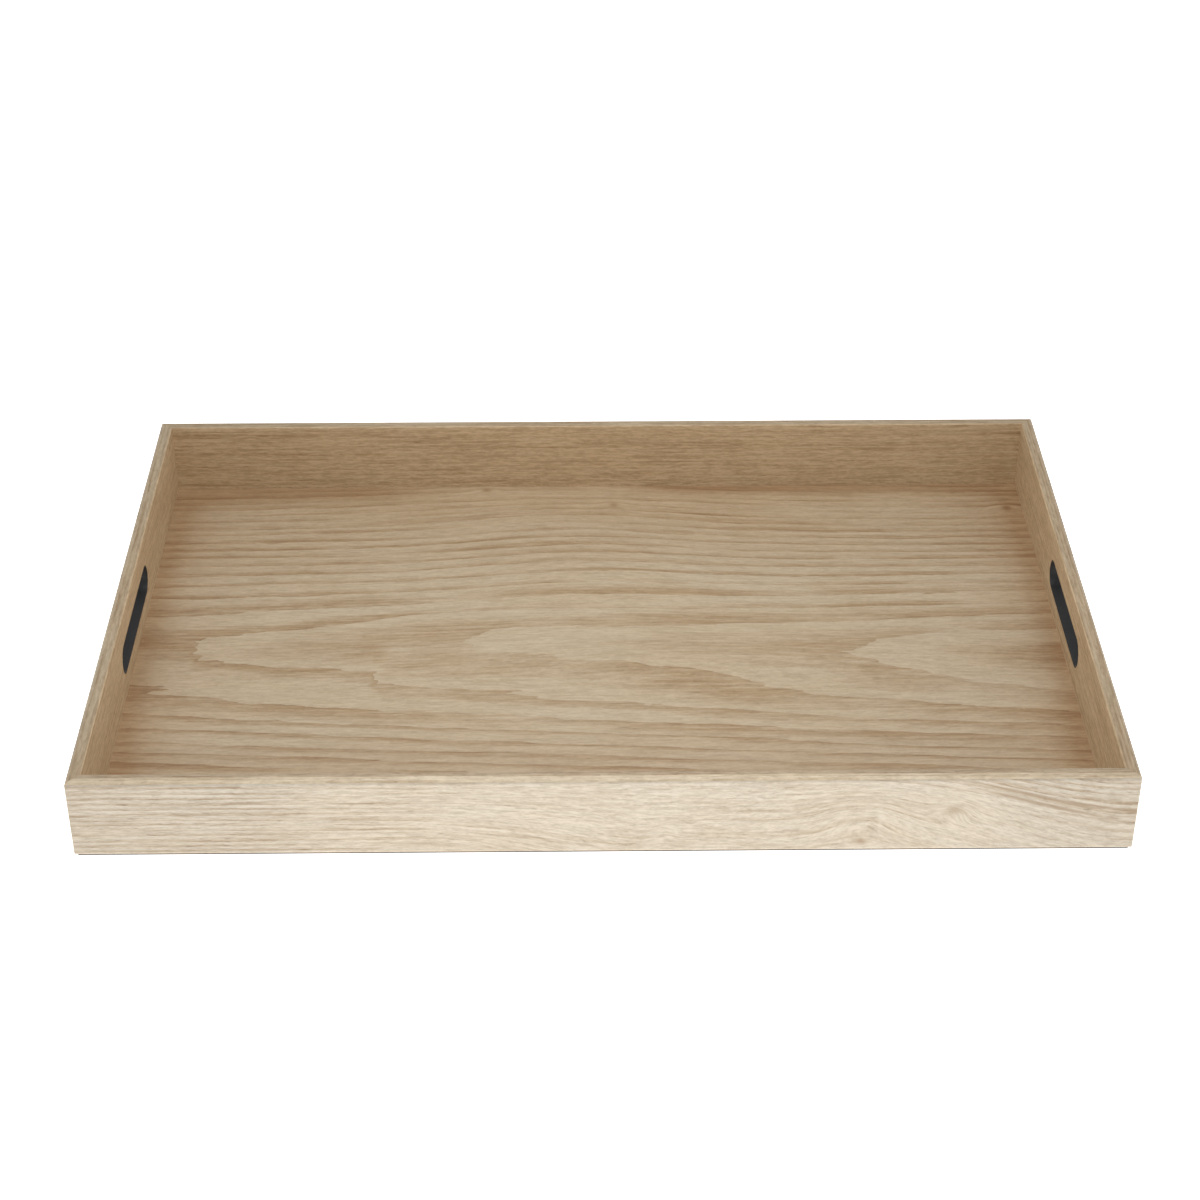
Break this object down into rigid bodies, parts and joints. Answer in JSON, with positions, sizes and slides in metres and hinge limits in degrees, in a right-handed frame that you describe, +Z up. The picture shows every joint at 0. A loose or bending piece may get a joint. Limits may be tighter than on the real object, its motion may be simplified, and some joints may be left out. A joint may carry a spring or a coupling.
{
  "type": "serving tray",
  "caption": "Rectangular ash-veneered serving tray with low mitred walls, a rounded rim, black-edged hand slots in the short walls and a black lined underside.",
  "frame": {"origin": "middle of the underside lining's bottom face, on the surface the tray stands on", "axes": "+X along the long walls, +Y towards the back wall, +Z up out of the tray"},
  "size_m": [0.6, 0.4, 0.053],
  "materials": {
    "ash_veneer": "pale ash, thin matt lacquer",
    "ash_solid": "pale ash, thin matt lacquer",
    "fibreboard": "raw medium-density fibreboard",
    "grip_edging": "matt black edging",
    "lining_felt": "short black felt",
    "steel": "bright wire"
  },
  "bodies": {
    "root": {"front_wall_core": "fibreboard", "front_outer_veneer": "ash_veneer", "front_inner_veneer": "ash_veneer", "front_rim_lipping": "ash_solid", "back_wall_core": "fibreboard", "back_outer_veneer": "ash_veneer", "back_inner_veneer": "ash_veneer", "back_rim_lipping": "ash_solid", "left_wall_core": "fibreboard", "left_outer_veneer": "ash_veneer", "left_inner_veneer": "ash_veneer", "left_rim_lipping": "ash_solid", "right_wall_core": "fibreboard", "right_outer_veneer": "ash_veneer", "right_inner_veneer": "ash_veneer", "right_rim_lipping": "ash_solid", "left_grip_edging": "grip_edging", "right_grip_edging": "grip_edging", "base_core": "fibreboard", "floor_veneer": "ash_veneer", "underside_lining": "lining_felt", "corner_v_nails": "steel", "base_brads": "steel"}
  },
  "joints": []
}
